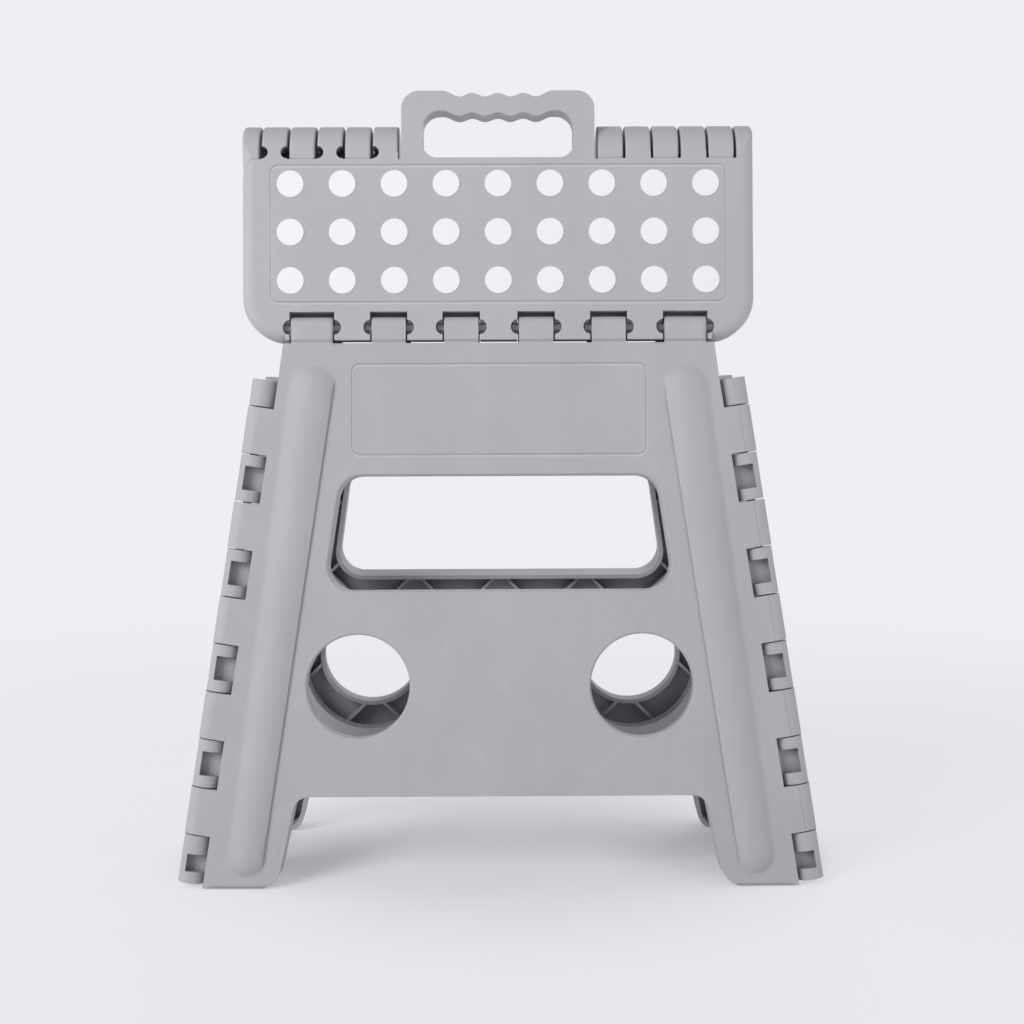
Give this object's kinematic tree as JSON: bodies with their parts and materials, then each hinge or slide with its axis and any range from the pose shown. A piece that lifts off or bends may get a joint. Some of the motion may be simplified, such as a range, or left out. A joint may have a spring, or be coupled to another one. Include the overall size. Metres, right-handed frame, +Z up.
{
  "type": "folding step stool",
  "caption": "Folding step stool of ribbed grey plastic: hinged seat halves with white anti-slip dots, wavy carrying handle, two legs with window and round openings, folding side panels.",
  "frame": {"origin": "bottom centre: on the floor, midway between the front and back feet and between the left and right feet", "axes": "+Z up, front leg faces -Y, +X to the right seen from the front"},
  "size_m": [0.3708, 0.1368, 0.4539],
  "materials": {
    "seat": "fine satin, pale grey",
    "leg": "fine satin, pale grey",
    "side": "fine satin, pale grey",
    "dot": "soft white inserts",
    "pad": "soft grey"
  },
  "bodies": {
    "leg_front_body": {"leg_front": "leg", "foot_pad_front_left": "pad", "foot_pad_front_right": "pad"},
    "seat_front_body": {"seat_front": "seat", "dots_front_row_1": "dot", "dots_front_row_2": "dot", "dots_front_row_3": "dot"},
    "seat_back_body": {"seat_back": "seat", "dots_back_row_1": "dot", "dots_back_row_2": "dot", "dots_back_row_3": "dot"},
    "leg_back_body": {"leg_back": "leg", "foot_pad_back_left": "pad", "foot_pad_back_right": "pad"},
    "side_front_left_body": {"side_panel_front_left": "side"},
    "side_front_right_body": {"side_panel_front_right": "side"},
    "side_back_left_body": {"side_panel_back_left": "side"},
    "side_back_right_body": {"side_panel_back_right": "side"}
  },
  "joints": [
    {"name": "seat_front_hinge", "type": "hinge", "parent": "leg_front_body", "child": "seat_front_body", "pos_m": [0, -0.02224, 0.318], "axis": [-1, 0, 0], "range_deg": [0, 83.5]},
    {"name": "centre_hinge", "type": "hinge", "parent": "seat_front_body", "child": "seat_back_body", "pos_m": [0, 0, 0.41692], "axis": [1, 0, 0], "range_deg": [0, 167]},
    {"name": "leg_back_hinge", "type": "hinge", "parent": "seat_back_body", "child": "leg_back_body", "pos_m": [0, 0.02224, 0.318], "axis": [-1, 0, 0], "range_deg": [0, 83.5]},
    {"name": "side_hinge_front_left", "type": "hinge", "parent": "leg_front_body", "child": "side_front_left_body", "pos_m": [-0.1303, -0.02204, 0.31798], "axis": [0.1495, 0.1119, 0.9824], "range_deg": [0, 83.5]},
    {"name": "side_hinge_front_right", "type": "hinge", "parent": "leg_front_body", "child": "side_front_right_body", "pos_m": [0.1303, -0.02204, 0.31798], "axis": [0.1495, -0.1119, -0.9824], "range_deg": [0, 83.5]},
    {"name": "side_hinge_back_left", "type": "hinge", "parent": "leg_back_body", "child": "side_back_left_body", "pos_m": [-0.1303, 0.02204, 0.31798], "axis": [-0.1495, 0.1119, -0.9824], "range_deg": [0, 83.5]},
    {"name": "side_hinge_back_right", "type": "hinge", "parent": "leg_back_body", "child": "side_back_right_body", "pos_m": [0.1303, 0.02204, 0.31798], "axis": [-0.1495, -0.1119, 0.9824], "range_deg": [0, 83.5]}
  ],
  "couplings": [
    {"joint": "centre_hinge", "follows": "seat_front_hinge", "ratio": 2},
    {"joint": "leg_back_hinge", "follows": "seat_front_hinge", "ratio": 1},
    {"joint": "side_hinge_front_left", "follows": "seat_front_hinge", "ratio": 1},
    {"joint": "side_hinge_front_right", "follows": "seat_front_hinge", "ratio": 1},
    {"joint": "side_hinge_back_left", "follows": "seat_front_hinge", "ratio": 1},
    {"joint": "side_hinge_back_right", "follows": "seat_front_hinge", "ratio": 1}
  ]
}
